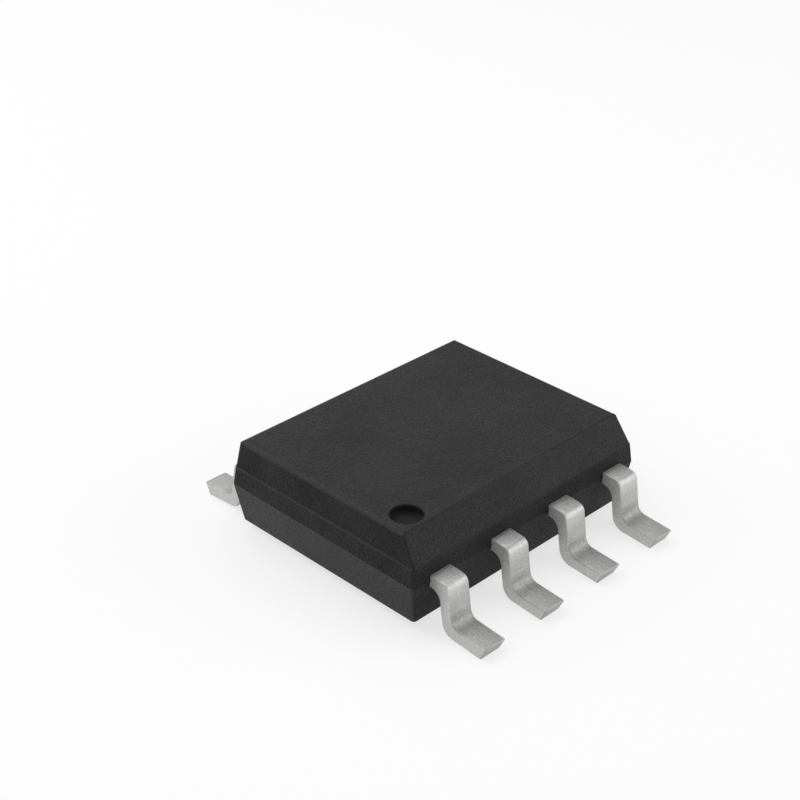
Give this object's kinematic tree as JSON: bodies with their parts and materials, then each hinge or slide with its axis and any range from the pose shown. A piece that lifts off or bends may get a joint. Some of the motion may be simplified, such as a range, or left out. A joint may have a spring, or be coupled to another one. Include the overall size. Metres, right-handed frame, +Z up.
{
  "type": "small-outline chip package",
  "caption": "Flat black moulded chip package with a bevelled pin side, a round pin mark in its top face and a row of formed gull-wing leads along each long side.",
  "frame": {"origin": "centre of the footprint on the seating plane, where the toes of the leads touch the board", "axes": "+X along the lead rows from pin 1 to pin 4, +Y from the row of pins 1 to 4 across to the row of pins 5 to 8, +Z up out of the board towards the marked top face"},
  "size_m": [0.005, 0.006, 0.0016],
  "materials": {
    "moulding": "matt black moulding compound with a fine sparked grain",
    "lead_plating": "matt tin plating with faint draw marks at the bends",
    "frame_copper": "bare rolled copper alloy strip",
    "attach_epoxy": "silver-filled epoxy, dull",
    "silicon": "polished top with sawn sides",
    "bond_gold": "drawn gold wire, bright"
  },
  "bodies": {
    "root": {"mould_body": "moulding", "lead_1": "lead_plating", "lead_2": "lead_plating", "lead_3": "lead_plating", "lead_4": "lead_plating", "lead_5": "lead_plating", "lead_6": "lead_plating", "lead_7": "lead_plating", "lead_8": "lead_plating", "die_paddle": "frame_copper", "die_attach": "attach_epoxy", "die": "silicon", "bond_wire_1": "bond_gold", "bond_wire_2": "bond_gold", "bond_wire_3": "bond_gold", "bond_wire_4": "bond_gold", "bond_wire_5": "bond_gold", "bond_wire_6": "bond_gold", "bond_wire_7": "bond_gold", "bond_wire_8": "bond_gold"}
  },
  "joints": []
}
